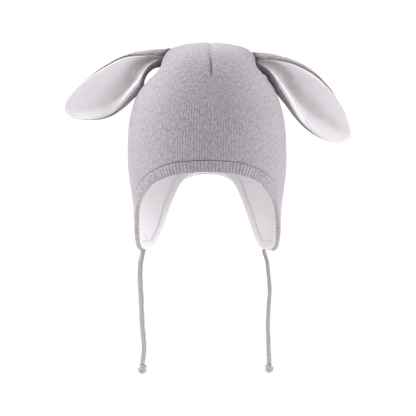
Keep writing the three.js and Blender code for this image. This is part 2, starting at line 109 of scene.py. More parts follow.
# How each ear lies: its side, how far down its root sits as a share of the hat's height, how deep
# and how high the crown is gathered there, and how far its tip is drawn out. Its shades: the fold
# beside the lip, how wide that fold is, the trough and the lip. Its line, along its length: the
# direction below the horizontal and the lean, in degrees. Its shape: a factor for the width, a
# lift, where the fold runs, and how much further the upper rim curls in, in degrees.
EAR_POSES = {
    "left": {
        "side": -1, "root_drop": 0.073, "gather": 1.0, "pinch": 1.0, "tip": 0.79,
        "fold_shade": 1.0, "fold_width": 0.62, "trough_shade": 0.07, "lip_shade": 0.5,
        "line": np.array([
            (0, 8, -29), (0.06, 14, -24), (0.12, 24, -13), (0.19, 28, 5), (0.27, 31, 23),
            (0.37, 35, 33), (0.48, 37, 38), (0.69, 34, 37), (0.79, 27, 34), (0.87, 22, 32),
            (1, 12, 25),
        ], float),
        "shape": np.array([
            (0, 1, 0, 0.1, 0), (0.1, 1.12, -1.2, 0.18, 2), (0.2, 1.2, -2.8, 0.18, 3),
            (0.4, 1.03, -1.8, -0.1, -4), (0.65, 1.01, -1.7, -0.16, -3), (0.85, 0.9, 0.3, -0.2, 0),
            (1, 0.93, 0.7, -0.1, 0),
        ], float),
    },
    "right": {
        "side": 1, "root_drop": 0.093, "gather": 0.6, "pinch": 0.82, "tip": 1.11,
        "fold_shade": 0.7, "fold_width": 0.32, "trough_shade": 0.3, "lip_shade": 0.0,
        "line": np.array([
            (0, 9, -18), (0.06, 17, -8), (0.12, 26, 5), (0.19, 35, 18), (0.27, 40, 27),
            (0.37, 44, 32), (0.48, 48, 33), (0.69, 45, 34), (0.87, 40, 31), (1, 28, 22),
        ], float),
        "shape": np.array([
            (0, 1, 0, 0.12, 0), (0.1, 1.05, 0, 0.2, 4), (0.2, 1.1, -0.3, 0.2, 8),
            (0.4, 1.03, 1.5, -0.02, 18), (0.65, 1.055, 1.9, -0.02, 14), (0.85, 1.05, 1.7, 0, 0),
            (1, 1.05, 1.5, 0.1, 0),
        ], float),
    },
}
WIDER, LIFT, FOLD, CURL = range(1, 5)

# The ribbed edge from the rim to its seam: share of its width, bulge, and how far its ribs rise.
EDGE_ROWS = np.array([
    (0, 0.2, 0.75), (0.04, 0.45, 1), (0.1, 0.62, 1), (0.2, 0.8, 1), (0.32, 0.95, 1), (0.46, 1, 1),
    (0.6, 1, 1), (0.74, 0.95, 1), (0.86, 0.85, 0.95), (0.94, 0.62, 0.8), (1, 0.15, 0.35),
], float)

# Its inner face: which of those rows, its depth in halves of the knit's wall, and how many
# millimetres it stands out where it laps over the facing.
INNER_ROWS = np.array([
    (0, -0.6, 0.7), (1, -1.35, 1.5), (2, -1.85, 1.7), (4, -2, 0.9), (6, -2, 0), (8, -2, 0),
    (10, -2, 0),
], float)

# The facing: a groove at its seam, then a soft raised strip with a rounded end. The place across
# the ribbed edge, 0 at its seam and 1 at the rim, and the rise as a share of the facing's.
FACING_ROWS = np.array([
    (-0.06, 0), (0, -0.05), (0.04, -0.16), (0.08, -0.2), (0.12, 0), (0.17, 0.35), (0.24, 0.75),
    (0.34, 1), (0.47, 1.15), (0.6, 1.2), (0.76, 1.15), (0.9, 1.05), (0.97, 0.8), (1, 0.1),
], float)

# One stitch of the facing along its length: its half thickness, and how far its ends dip in.
STITCH_ROWS = np.array([
    (0, 0, 0.55), (0.12, 0.24, 0.15), (0.35, 0.3, -0.12), (0.65, 0.3, -0.12), (0.88, 0.24, 0.15),
    (1, 0, 0.55),
], float)

# Each tie: the turn at which it hangs from the rim, how thick it is at its start, further on and at
# its end, and where its waver starts; then the lean and the length of its knot's tail. Its line
# below the rim: out from the middle of the hat, ahead and down.
TIES = {
    "left": {
        "turn": -112, "thick": (1.15, 1.27, 1.15), "waver": 2, "lean": 0.2, "tail": 1.0,
        "line": np.array([
            (1.3, 0, 0), (1.6, 0.1, 2), (2.6, 0.3, 6.5), (3.7, 0.6, 12), (4.2, 0.8, 23),
            (3.8, 0.6, 34), (3.2, 0.2, 45), (2.8, 0, 56), (2.3, 0, 67), (1.4, 0.2, 78),
            (0.6, 0.4, 89), (1.2, 0.4, 98), (2.2, 0.4, 105),
        ], float),
    },
    "right": {
        "turn": 123, "thick": (0.86, 0.95, 1.12), "waver": 0, "lean": -0.12, "tail": 0.86,
        "line": np.array([
            (0, 0, 0), (-0.1, 0, 2), (1.2, 0.3, 6.5), (2.8, 0.5, 12), (4, 0.6, 23), (5, 0.5, 34),
            (5.1, 0.2, 42), (4.4, 0, 51), (3.8, 0, 62), (3.5, 0.2, 73), (4, 0.4, 85),
            (4.3, 0.4, 95.5), (4.8, 0.4, 106),
        ], float),
    },
}

# One overhand knot in shares of its half width and half height: sideways, ahead, up.
KNOT_PATH = np.array([
    (0.1, -0.2, 1.75), (0.1, -0.28, 1.2), (0.05, -0.36, 0.7), (-0.36, -0.34, 0.12),
    (-0.68, 0.02, -0.42), (-0.3, 0.56, -0.66), (0.36, 0.52, -0.5), (0.74, 0.02, -0.2),
    (0.42, -0.56, 0.1), (-0.24, -0.62, 0.38), (-0.72, -0.1, 0.5), (-0.4, 0.56, 0.4),
    (0.24, 0.64, 0.26), (0.66, 0.2, 0.02), (0.36, -0.12, -0.36), (0.12, -0.08, -0.72),
    (0.1, 0, -0.98), (0.2, 0.02, -1.2),
], float)

# How many points go round the rim where it is measured, and into one rib of the edge.
FINE_TURNS = 2881
RIB_COLUMNS = 6
# Down to this row of CROWN_ROWS the points of the crown lie level, below it they follow the rim.
LEVEL_STEP = 7.7
# The width and height of a stitch of the lining, and how many columns of stitches go round a cord
# and how high they are.
JERSEY_STITCH = (1.3, 1.0)
CORD_WALES, CORD_COURSE = 6, 1.7
# In metres: how close points are merged, and a place at the side that is clear of the crown.
MERGE, BESIDE = 2e-7, 0.14

# The camera, in metres and degrees, and its lens in millimetres.
TARGET, DISTANCE, ELEVATION, LENS = (0.00063, 0, -0.14496), 1.3, 3, 124.4
# The lamps: where they stand, how wide they are and their power. All of them aim at the hat.
LAMPS = {
    "left softbox": ((-1.4, 0.2, 0.6), 1.7, 46),
    "right softbox": ((1.5, 0.25, 0.05), 1.9, 36),
    "top softbox": ((0, 0.2, 1.5), 1.7, 24),
    "front softbox": ((0.1, -1.6, 1.5), 1.4, 9),
    "low softbox": ((0, 0, -0.72), 2.4, 22.5),
}
AIM = (0, 0, -0.1)
# The surround, as colour and strength: what lights the hat, then what the camera sees behind it.
SURROUND = (((1, 0.985, 1, 1), 0.41), ((1, 1, 1, 1), 1.05))


def length(name, description, size):
    return bpy.props.FloatProperty(
        name=name, description=description, default=size * MM, min=0, precision=5, unit="LENGTH")


def share(name, description, value):
    return bpy.props.FloatProperty(name=name, description=description, default=value, min=0)


def tint(name, description, value):
    return bpy.props.FloatVectorProperty(
        name=name, description=description, default=value, min=0, max=1, size=3, subtype="COLOR")


class HatSizes(bpy.types.PropertyGroup):
    crown_width: length("Crown width", "Width of the hat over its knit", 142.4)
    front_depth: length("Front depth", "From the middle plane to the front of the knit", 83)
    back_depth: length("Back depth", "From the middle plane to the back of the knit", 86)
    hat_height: length("Hat height", "From the top of the knit to the tips of the flaps", 189)
    section_power: share("Section power", "How square the crown is, seen from above", 2.15)
    knit_wall: length("Knit wall", "Thickness of the outer knit", 2)
    layer_gap: length("Layer gap", "Air between the knit and the lining", 0.4)
    lining_wall: length("Lining wall", "Thickness of the lining", 1.2)
    facing_extra: length("Facing", "How far the turned facing stands out of the lining", 0.7)
    band_width: length("Band width", "Width of the ribbed edge", 9.5)
    band_bulge: length("Band bulge", "How far the ribbed edge stands out", 0.7)
    seam_gap: length("Seam gap", "Gap between the knit and the ribbed edge", 0.3)
    rib_width: length("Rib width", "Width of one rib of the edge", 2.9)
    rib_rise: length("Rib rise", "How far a rib stands out", 0.55)
    wale_width: length("Stitch width", "Width of one column of stitches", 2.2)
    course_height: length("Stitch height", "Height of one row of stitches", 1.55)
    dart_side: length("Dart side", "How far the front dart lies beside the middle", 3.4)
    dart_width: length("Dart width", "Half width of the front dart", 2.2)
    dart_depth: length("Dart depth", "Depth of the front dart", 1.6)
    dart_length: length("Dart length", "Length of the front dart", 32)
    pinch_depth: length("Gather depth", "How far the crown is drawn in at an ear", 16)
    pinch_width: length("Gather width", "Half width of the drawn-in part", 33)
    pinch_length: length("Gather length", "Half height of the drawn-in part", 11.5)
    pinch_drop: length("Gather drop", "How far the gathers lie below the top", 20.4)
    right_extra: length("Right flap", "How much lower the right flap hangs behind its tip", 4)
    left_extra: length("Left flap", "How much lower the left flap hangs behind its tip", 1.5)


class EarSizes(bpy.types.PropertyGroup):
    length: length("Ear length", "From the crown to the tip, along the ear", 108)
    width: length("Ear width", "Width of an ear where it is widest", 42)
    trough: length("Trough", "Depth of an ear's hollow", 10)
    knit_wall: length("Knit wall", "Thickness of the grey outside", 1.6)
    fleece_wall: length("Fleece wall", "Thickness of the white inside", 2.2)
    lip: length("Lip", "Padding along the lower edge", 3.4)
    gap: length("Layer gap", "Air between the two layers", 0.3)
    seat: length("Seat", "Gap between an ear's root and the crown", 0.7)


class TieSizes(bpy.types.PropertyGroup):
    diameter: length("Tie diameter", "Thickness of a tie", 4)
    gap: length("Tie gap", "Gap between a tie and what it hangs from", 0.3)
    knot_width: length("Knot width", "Width of a knot", 7.6)
    knot_height: length("Knot height", "Height of a knot", 9.4)


class HatColours(bpy.types.PropertyGroup):
    knit: tint("Grey knit", "Lilac grey of the crown and the ears", (0.378, 0.33, 0.367))
    knit_fleck: tint("Pale fleck", "Pale fibre in the grey yarn", (0.616, 0.573, 0.612))
    jersey: tint("White jersey", "The lining", (0.9, 0.87, 0.895))
    fleece: tint("White fleece", "The inside of the ears", (0.92, 0.885, 0.92))
    cord: tint("Grey cord", "The ties", (0.47, 0.43, 0.455))
    thread: tint("Thread", "The stitches of the facing", (0.8, 0.77, 0.8))


def in_millimetres(group):
    """The sizes of a property group, with its lengths in millimetres."""
    sizes = {}
    for name, prop in group.bl_rna.properties.items():
        if name not in ("rna_type", "name"):
            value = getattr(group, name)
            sizes[name] = value / MM if prop.unit == "LENGTH" else value
    return type("Sizes", (), sizes)


def clamp(value):
    return np.clip(value, 0, 1)


def eased(part):
    """A part from 0 to 1, smooth at both ends."""
    return part * part * (3 - 2 * part)


def bell(at, middle, spread):
    """1 at the middle, falling away smoothly on both sides."""
    return np.exp(-((at - middle) / spread) ** 2)


def wrapped(turn):
    """A turn as one between -180 and 180 degrees."""
    return (np.asarray(turn, float) + 180) % 360 - 180


def unit(vectors):
    return vectors / np.maximum(np.linalg.norm(vectors, axis=-1, keepdims=True), 1e-12)


def smooth(a, b, c, d, u):
    """A smooth curve through four values, at share u between the second and the third."""
    bend = 2 * a - 5 * b + 4 * c - d
    twist = 3 * b - a - 3 * c + d
    return 0.5 * (2 * b + (c - a) * u + bend * u * u + twist * u ** 3)


def table_value(rows, at, column):
    """A column of a table at places given by its first column."""
    keys, values = rows[:, 0], rows[:, column]
    last = len(keys) - 1
    index = np.searchsorted(keys[1:last], at, side="left")
    u = clamp((at - keys[index]) / (keys[index + 1] - keys[index]))
    before = values[np.maximum(index - 1, 0)]
    after = values[np.minimum(index + 2, last)]
    return smooth(before, values[index], values[index + 1], after, u)


def run_along(points):
    """The way along each line of points, from its start to each of its points."""
    parts = np.linalg.norm(np.diff(points, axis=0), axis=-1)
    return np.concatenate([np.zeros_like(parts[:1]), np.cumsum(parts, axis=0)])


def on_line(at, run, line, period=None):
    """Points at places along a line whose own points lie at run."""
    return np.stack([np.interp(at, run, line[:, axis], period=period) for axis in range(3)],
                    axis=1)


def through(points, count):
    """Points at even distances along a smooth curve through the given ones."""
    padded = np.vstack([2 * points[0] - points[1], points, 2 * points[-1] - points[-2]])
    at = np.linspace(0, len(points) - 1, 40 * len(points))
    index = np.minimum(at.astype(int), len(points) - 2)
    fine = smooth(*(padded[index + i] for i in range(4)), (at - index)[:, None])
    run = run_along(fine)
    return on_line(np.linspace(0, run[-1], count), run, fine)


class Form:
    """The surfaces of the hat, in millimetres. Turn 0 is the front and 90 is +X."""

    def __init__(self, sizes):
        self.size = sizes
        self.side_radius = (sizes.crown_width + sizes.front_depth + sizes.back_depth) / 4
        self.steps = np.linspace(0, len(CROWN_ROWS) - 1, 8001)
        self.drops = np.maximum.accumulate(self.profile(self.steps, 0) * sizes.hat_height)
        zero = np.array(0.0)
        self.top = (sizes.knit_wall + sizes.layer_gap + sizes.lining_wall
                    + float(self.dent(zero, zero, zero)))
        self.turns = np.linspace(-180, 180, 1441)
        self.rims = self.rim_drop(self.turns)
        # The seam of the ribbed edge keeps its distance from every place of the rim near it.
        self.seams = np.full_like(self.turns, np.inf)
        for aside in np.linspace(-1, 1, 33) * sizes.band_width:
            other = self.rim_drop(self.turns + aside / (self.side_radius * RAD))
            above = math.sqrt(sizes.band_width ** 2 - aside ** 2 + 1e-9)
            self.seams = np.minimum(self.seams, other - above)

    def profile(self, step, column):
        rows = CROWN_ROWS[:, column]
        first = rows[1] if column == 0 else -rows[1]
        padded = np.concatenate([[first], rows, [2 * rows[-1] - rows[-2]]])
        at = np.clip(step, 0, len(rows) - 1 - 1e-9)
        index = np.floor(at).astype(int)
        return smooth(*(padded[index + i] for i in range(4)), at - index)

    def step_at(self, drop):
        return np.interp(drop, self.drops, self.steps)

    def dent(self, x, y, drop):
        """How far the knit is drawn in by the front dart and where the ears are gathered in."""
        size = self.size
        fade = 1 / (1 + np.exp((y - size.dart_width) / (size.dart_width / 2)))
        dart = (table_value(DART_ROWS, drop / size.dart_length, 1)
                * bell(x, size.dart_side, size.dart_width) * fade)
        depth, reach = (np.where(x < 0, EAR_POSES["left"][key], EAR_POSES["right"][key])
                        for key in ("gather", "pinch"))
        side = np.minimum(np.abs(x) / (size.crown_width / 4), 1)
        gather = 0.88 * bell(y, 0, size.pinch_width) + 0.12 * bell(y, 0, size.pinch_width / 5)
        down = bell(drop, size.pinch_drop, size.pinch_length * reach)
        return (size.dart_depth * dart
                + size.pinch_depth * depth * gather * down * side * side)

    def ease(self, x, y, drop):
        """Soft unevenness that all the layers share: at the darts, at the ears and all along."""
        size = self.size
        aside = x - size.dart_side
        front = 1 / (1 + np.exp(y / 3))
        along = bell(drop, size.dart_length * 0.7, size.dart_length * 0.6)
        pull = 0.22 * np.cos(drop * 1.35 + 0.5 * np.abs(aside)) * np.exp(-np.abs(aside) / 5)
        tuck = -0.35 * bell(np.abs(aside), 5.5, 3.2)
        back = 0.7 * bell(aside, 0, 2.4) * np.exp(-(drop / 34) ** 4) * (1 - front)
        # Folds fan out from the roots of the ears.
        level = drop - size.hat_height * 0.08
        spread = bell(np.hypot(y, level * 1.1), 21, 13)
        beside = clamp((np.abs(x) - size.crown_width * 0.2) / (size.crown_width * 0.12))
        folds = 0.42 * np.cos(np.arctan2(y, level) * 9 + np.sign(x)) * spread * beside
        # The dart's line swings out and back. It opens lower down, and single stitches hold it
        # higher up.
        lower = drop / size.dart_length
        sway = -1.9 * bell(lower, 0.38, 0.17) + 0.5 * clamp(lower - 0.5)
        aside = aside - sway - 0.2 * np.sin(drop * 1.7) - 0.1 * np.sin(drop * 3.4)
        opened = 1 / (1 + np.exp((0.52 - lower) / 0.05))
        tacked = bell(lower, 0.42, 0.14) * (0.5 + 0.5 * np.cos(drop * 2.6))
        crease = (0.35 + 0.9 * tacked + 2.0 * opened) * bell(aside, 0, 0.6)
        crease = crease * np.exp(-(drop / (size.dart_length * 0.965)) ** 14) * front
        turn = np.arctan2(x, -y)
        slow = (0.5 * np.sin(2 * turn + 0.6) + 0.35 * np.sin(3 * turn + drop / 33 + 1.1)
                + 0.3 * np.sin(5 * turn - drop / 27 + 2.3))
        slow = 0.55 * slow * clamp(drop / 60)
        return (pull + tuck) * front * along + crease + back + folds + slow

    def plain_point(self, turn, step):
        """A point of the crown without its darts, gathers and unevenness."""
        across, ahead = np.sin(turn * RAD), np.cos(turn * RAD)
        power = 2 / self.size.section_power
        depth = np.where(ahead > 0, self.size.front_depth * self.profile(step, 2),
                         self.size.back_depth * self.profile(step, 3))
        return np.stack([
            self.size.crown_width / 2 * self.profile(step, 1)
            * np.sign(across) * np.abs(across) ** power,
            -depth * np.sign(ahead) * np.abs(ahead) ** power,
            self.top - self.size.hat_height * self.profile(step, 0),
        ], axis=-1)

    def normal(self, turn, step):
        around = self.plain_point(turn + 0.4, step) - self.plain_point(turn - 0.4, step)
        down = self.plain_point(turn, step + 0.02) - self.plain_point(turn, step - 0.02)
        normal = unit(np.cross(down, around))
        return np.where((np.asarray(step) < 1e-9)[..., None], (0.0, 0.0, 1.0), normal)

    def point(self, turn, step, out):
        """A point of the crown, so far out from the outside of the knit."""
        turn, step, out = np.broadcast_arrays(*(np.asarray(v, float) for v in (turn, step, out)))
        point = self.plain_point(turn, step)
        x, y, drop = point[..., 0], point[..., 1], self.top - point[..., 2]
        reach = out - self.dent(x, y, drop) - self.ease(x, y, drop)
        return point + self.normal(turn, step) * reach[..., None]

    def rim_drop(self, turn):
        extra = (self.size.right_extra * bell(turn, 128, 11)
                 + self.size.left_extra * bell(turn, -126, 11))
        drop = table_value(RIM_ROWS, np.abs(wrapped(turn)), 1) * self.size.hat_height + extra
        return np.minimum(drop, self.size.hat_height)

    def band_step(self, turn, across):
        """The step at a place in the ribbed edge: across is 0 at its seam and 1 at the rim."""
        turn = wrapped(turn)
        seam = np.interp(turn, self.turns, self.seams)
        rim = np.interp(turn, self.turns, self.rims)
        return self.step_at(seam + across * (rim - seam))


def the_form():
    return Form(in_millimetres(bpy.context.scene.hat_sizes))


def deselect():
    if bpy.context.object and bpy.context.object.mode != "OBJECT":
        bpy.ops.object.mode_set(mode="OBJECT")
    bpy.ops.object.select_all(action="DESELECT")


def shaped_grid(name, points, wraps=None, shades=None):
    """A grid whose points are put at the given places, merged where it meets itself.

    points has a row for each line across the grid, and wraps the same for the pattern that its
    material follows. shades says how much painted shade each point gets, which darkens its colour.
    """
    rows, columns = points.shape[:2]
    deselect()
    bpy.ops.mesh.primitive_grid_add(
        x_subdivisions=columns - 1, y_subdivisions=rows - 1, size=2, location=(0, 0, 0))
    piece = bpy.context.object
    piece.name = piece.data.name = name
    mesh = piece.data
    flat = vertex_places(mesh)
    column = np.rint((flat[:, 0] + 1) / 2 * (columns - 1)).astype(int)
    row = np.rint((flat[:, 1] + 1) / 2 * (rows - 1)).astype(int)
    mesh.vertices.foreach_set("co", (points[row, column] * MM).ravel())
    if wraps is not None:
        corners = np.empty(len(mesh.loops), dtype=np.int32)
        mesh.loops.foreach_get("vertex_index", corners)
        layer = mesh.uv_layers[0]
        layer.name = "Stitches"
        layer.data.foreach_set("uv", wraps[row, column][corners].ravel())
    if shades is not None:
        shade = mesh.attributes.new("Shade", "FLOAT", "POINT")
        shade.data.foreach_set("value", np.ascontiguousarray(shades[row, column], np.float32))
    mesh.update()
    close(piece)
    return piece


def vertex_places(mesh):
    places = np.empty(len(mesh.vertices) * 3)
    mesh.vertices.foreach_get("co", places)
    return places.reshape(-1, 3)


def edit_all(operator, **options):
    """Run an operator on all of the active mesh."""
    bpy.ops.object.mode_set(mode="EDIT")
    bpy.ops.mesh.select_all(action="SELECT")
    operator(**options)
    bpy.ops.object.mode_set(mode="OBJECT")


def close(piece):
    """Merge doubled points and turn the faces outwards."""
    edit_all(bpy.ops.mesh.remove_doubles, threshold=MERGE)
    mesh = piece.data
    mesh.calc_loop_triangles()
    corners = np.empty(len(mesh.loop_triangles) * 3, dtype=np.int32)
    mesh.loop_triangles.foreach_get("vertices", corners)
    a, b, c = vertex_places(mesh)[corners.reshape(-1, 3)].transpose(1, 0, 2)
    if np.einsum("ij,ij->i", a, np.cross(b, c)).sum() < 0:
        edit_all(bpy.ops.mesh.flip_normals)
    bpy.ops.object.shade_smooth()


def dress(piece, finish, slot, *nodes):
    """Give a piece its finish, hang it from the root, and hide the parts of the model that it
    stands for.
    """
    piece.data.materials.clear()
    piece.data.materials.append(finish_of(finish))
    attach(piece, "root")
    if nodes:
        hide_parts(*nodes)


def by(operation):
    """What a sign between two values does: it adds a node with this operation."""
    return lambda value, other: value.math(operation, other)


class Value:
    """A socket of a shader that a Python expression can calculate with."""

    def __init__(self, finish, socket):
        self.finish, self.socket = finish, socket

    def math(self, operation, *others):
        return self.finish.value("ShaderNodeMath", {"operation": operation},
                                 dict(enumerate((self, *others))))

    __add__, __sub__, __mul__, __pow__ = map(by, ("ADD", "SUBTRACT", "MULTIPLY", "POWER"))

    def __rsub__(self, other):
        return self * -1 + other

    def wave(self):
        """0 at whole numbers and 1 half way between them."""
        return (self * math.pi).math("SINE").math("ABSOLUTE")

    def between(self, low, high):
        """0 up to low, 1 from high, and smooth between them."""
        return self.finish.value("ShaderNodeMapRange", {"interpolation_type": "SMOOTHSTEP"},
                                 {0: self, 1: low, 2: high})


class Finish:
    """A material and the means to build it."""

    def __init__(self, name):
        self.material = bpy.data.materials.new(name)
        self.material.use_nodes = True
        self.tree = self.material.node_tree
        self.tree.nodes.clear()

    def node(self, kind, settings=None, sockets=None):
        node = self.tree.nodes.new(kind)
        for name, value in (settings or {}).items():
            setattr(node, name, value)
        for key, value in (sockets or {}).items():
            if isinstance(value, Value):
                self.tree.links.new(value.socket, node.inputs[key])
            else:
                node.inputs[key].default_value = value
        return node

    def value(self, kind, settings=None, sockets=None, output=0):
        return Value(self, self.node(kind, settings, sockets).outputs[output])

    def stitches(self):
        """Across and along, counted in stitches, and how far aside of its column a place is."""
        place = self.value("ShaderNodeUVMap", {"uv_map": "Stitches"})
        split = self.node("ShaderNodeSeparateXYZ", None, {0: place})
        wale, course = (Value(self, split.outputs[axis]) for axis in range(2))
        return wale, course, (wale.math("FRACT") - 0.5).math("ABSOLUTE") * 2

    # The painted shade that a piece carries on its points, as its Shade attribute.
    def shade(self):
        return self.value("ShaderNodeAttribute", {"attribute_name": "Shade"}, output=2)

    def noise(self, vector, detail, roughness):
        return self.value("ShaderNodeTexNoise", None, {
            "Vector": vector, "Scale": 1.0, "Detail": detail, "Roughness": roughness})

    def fibre(self, across, along, detail, roughness):
        """Noise that follows the stitches."""
        vector = self.value("ShaderNodeCombineXYZ", None, {0: across, 1: along})
        return self.noise(vector, detail, roughness)

    def grain(self, scale, detail, roughness):
        """Noise all through the cloth, so many times to the metre."""
        spot = self.value("ShaderNodeTexCoord", output=3)
        vector = self.value("ShaderNodeVectorMath", {"operation": "MULTIPLY"},
                            {0: spot, 1: (scale, scale, scale)})
        return self.noise(vector, detail, roughness)

    def mix(self, factor, a, b):
        return self.value("ShaderNodeMix", {"data_type": "RGBA"}, {0: factor, 6: a, 7: b}, output=2)

    def end(self, colour, roughness, height, rise, sheen, sheen_tint=(1, 1, 1, 1)):
        """The cloth's surface: rise is how high, in metres, a height of 1 stands."""
        normal = self.value("ShaderNodeBump", None, {
            "Strength": 1.0, "Distance": rise, "Height": height})
        cloth = self.value("ShaderNodeBsdfPrincipled", None, {
            "Base Color": colour, "Roughness": roughness, "Normal": normal,
            "Specular IOR Level": 0.25, "Sheen Weight": sheen, "Sheen Roughness": 0.45,
            "Sheen Tint": sheen_tint})
        self.node("ShaderNodeOutputMaterial", None, {0: cloth})
        return self.material


def colour(value, factor=1.0):
    return (*(min(c * factor, 1) for c in value), 1.0)


def knitted(name, yarn, fleck, slub_and_groove_shade=1.0, depth=0.00045, mottle=0.8):
    """Plain knitting of a mottled yarn: a row of linked loops down each column of stitches."""
    finish = Finish(name)
    wale, course, side = finish.stitches()
    leg = side.wave()
    row = course + side * 0.75
    loop = row.wave()
    valley = side ** 4
    height = leg * 0.42 + loop * leg * 0.3 + (1 - valley) * 0.35
    fibre = finish.fibre(wale * 2.6, row * 0.9, 3.0, 0.62)
    slub = finish.fibre(wale * 1.1 + 9.0, course * 0.42, 2.0, 0.6)
    grain = finish.grain(900, 2.0, 0.6)
    cloud = finish.grain(46, 3.0, 0.55)
    pale = (fibre * 0.6 + slub * 0.15 + grain * 0.25).between(0.4, 0.62)
    base = finish.mix(pale * mottle, colour(yarn, 0.8), colour(fleck))
    base = finish.mix((cloud.between(0.3, 0.7) - 0.5) * 0.14 + 0.07, base, colour(fleck, 0.92))
    # Darker slubs of the yarn, and painted shade in the grooves between columns and between loops.
    dark = slub.between(0.5, 0.36) * 0.1 + valley * 0.42 + (1 - loop) * 0.16
    base = finish.mix(dark * slub_and_groove_shade, base, colour(yarn, 0.38))
    # Painted shade from the piece's Shade attribute.
    base = finish.mix(finish.shade(), base, colour(yarn, 0.16))
    rough = grain * 0.12 + 0.82
    return finish.end(base, rough, height + grain * 0.25, depth, 0.28, colour((0.95, 0.93, 0.95)))


def jersey(name, white):
    """Fine white jersey with a faint column of stitches."""
    finish = Finish(name)
    _, course, side = finish.stitches()
    loop = (course + side * 0.7).wave()
    nap = finish.grain(1300, 3.0, 0.6)
    cloud = finish.grain(34, 2.0, 0.5)
    height = side.wave() * 0.5 + loop * 0.25 + nap * 0.5
    base = finish.mix(nap.between(0.35, 0.65) * 0.5, colour(white, 0.95), colour(white, 1.03))
    base = finish.mix(cloud.between(0.35, 0.7) * 0.25, base, colour(white, 0.93))
    # Painted shade between the columns of stitches.
    base = finish.mix(side ** 6 * 0.16, base, colour(white, 0.72))
    return finish.end(base, nap * 0.1 + 0.82, height, 0.00022, 0.2)


def fleece(name, white):
    """Brushed white fleece: a short, slightly matted pile."""
    finish = Finish(name)
    pile = finish.grain(780, 4.0, 0.65)
    matted = finish.grain(150, 3.0, 0.55)
    cloud = finish.grain(42, 2.0, 0.5)
    base = finish.mix(pile.between(0.35, 0.65) * 0.6, colour(white, 0.93), colour(white, 1.04))
    # Painted shade, towards a warm dark grey, from the piece's Shade attribute.
    base = finish.mix(finish.shade(), base, (0.34, 0.305, 0.285, 1))
    base = finish.mix(matted.between(0.4, 0.7) * 0.22, base, colour(white, 0.9))
    base = finish.mix(cloud.between(0.4, 0.7) * 0.12, base, colour(white, 0.95))
    return finish.end(base, pile * 0.1 + 0.86, pile * 0.6 + matted * 1.2, 0.0006, 0.4)


def corded(name, yarn, fleck):
    """A knitted cord: columns of slanting stitches round it."""
    finish = Finish(name)
    wale, course, side = finish.stitches()
    loop = (course + side * 0.8).wave()
    fibre = finish.fibre(wale * 2.3, course * 1.3, 3.0, 0.6)
    grain = finish.grain(1100, 2.0, 0.6)
    base = finish.mix((fibre * 0.6 + grain * 0.4).between(0.44, 0.64) * 0.7,
                      colour(yarn), colour(fleck, 1.1))
    # Painted shade between the loops and between the columns.
    base = finish.mix((1 - loop) * 0.22 + side ** 5 * 0.25, base, colour(yarn, 0.42))
    height = loop * side.wave() * 0.6 + (1 - side ** 5) * 0.4 + grain * 0.2
    return finish.end(base, grain * 0.1 + 0.84, height, 0.0005, 0.08)


def threaded(name, white):
    """Twisted sewing thread."""
    finish = Finish(name)
    twist = finish.grain(2600, 1.0, 0.5)
    base = finish.mix(twist.between(0.35, 0.65), colour(white, 0.86), colour(white, 1.04))
    return finish.end(base, twist * 0.1 + 0.7, twist, 0.0001, 0.1)


def finish_of(name):
    """The finish of that name, made the first time it is asked for."""
    if name in bpy.data.materials:
        return bpy.data.materials[name]
    tints = bpy.context.scene.hat_colours
    grey, pale = tints.knit, tints.knit_fleck
    maker, *given = {
        "Grey stockinette": (knitted, grey, pale),
        # The ears' knit is the crown's yarn and fleck, painted darker as shade.
        "Grey ear knit": (knitted, colour(grey, 0.86)[:3], colour(pale, 0.86)[:3]),
        "Grey rib": (knitted, grey, pale, 1.15, 0.0003, 0.75),
        "White jersey": (jersey, tints.jersey),
        "White fleece": (fleece, tints.fleece),
        "Grey cord": (corded, tints.cord, pale),
        "White thread": (threaded, tints.thread),
    }[name]
    return maker(name, *given)


def panel_turns(count):
    """Columns round the hat in four panels between its darts, each with both of its edges."""
    shares = [np.linspace(0, 1, round(count / 4) + 1) for _ in range(4)]
    # They are closest together at the front dart.
    shares[0], shares[3] = shares[0] ** 1.4, 1 - (1 - shares[3]) ** 1.4
    edges = (3, 90, 180, 270, 363)
    return [a + (b - a) * part for a, b, part in zip(edges, edges[1:], shares)]


def crown_rows(form, turns, upper, lower, end):
    """Steps down each column: even ones from the top, then shares of the way to its lower edge."""
    top = np.linspace(0, 1, upper) ** 0.92 * LEVEL_STEP
    last = form.band_step(turns, end)
    shares = np.linspace(0, 1, lower + 1)[1:, None]
    return np.vstack([np.repeat(top[:, None], len(turns), axis=1),
                      LEVEL_STEP + shares * (last - LEVEL_STEP)])


def stitch_map(form, panels, steps, width, height):
    """Stitches across and along for each point: counted from the middle of each panel, so the
    columns of stitches run into the darts and end there."""
    wraps = np.zeros((*steps.shape, 2))
    start = 0
    for number, turns in enumerate(panels):
        columns = slice(start, start + len(turns))
        start += len(turns)
        points = form.plain_point(turns[None, :], steps[:, columns])
        # Below this drop in millimetres the columns of stitches keep their width.
        level = form.step_at(np.minimum(form.top - points[..., 2], 55))
        wide = run_along(form.plain_point(turns[None, :], level).swapaxes(0, 1)).T
        wide -= wide[:, len(turns) // 2][:, None]
        around = wide[-1, -1] - wide[-1, 0]
        # Every panel has whole stitches, and a part of the pattern of its own.
        wraps[:, columns, 0] = 500 * number + wide * round(float(around) / width) / around
        wraps[:, columns, 1] = run_along(points) / height
    return wraps


def walled(form, panels, steps, face, back, every, stitch):
    """The points and stitches of a wall: its face, then its back with one row out of every few."""
    few = np.r_[0:len(steps):every, len(steps) - 1]
    behind = form.point(np.concatenate(panels), steps[few], back)
    wraps = stitch_map(form, panels, steps, *stitch)
    return np.vstack([face, behind[::-1]]), np.vstack([wraps, wraps[few][::-1]])


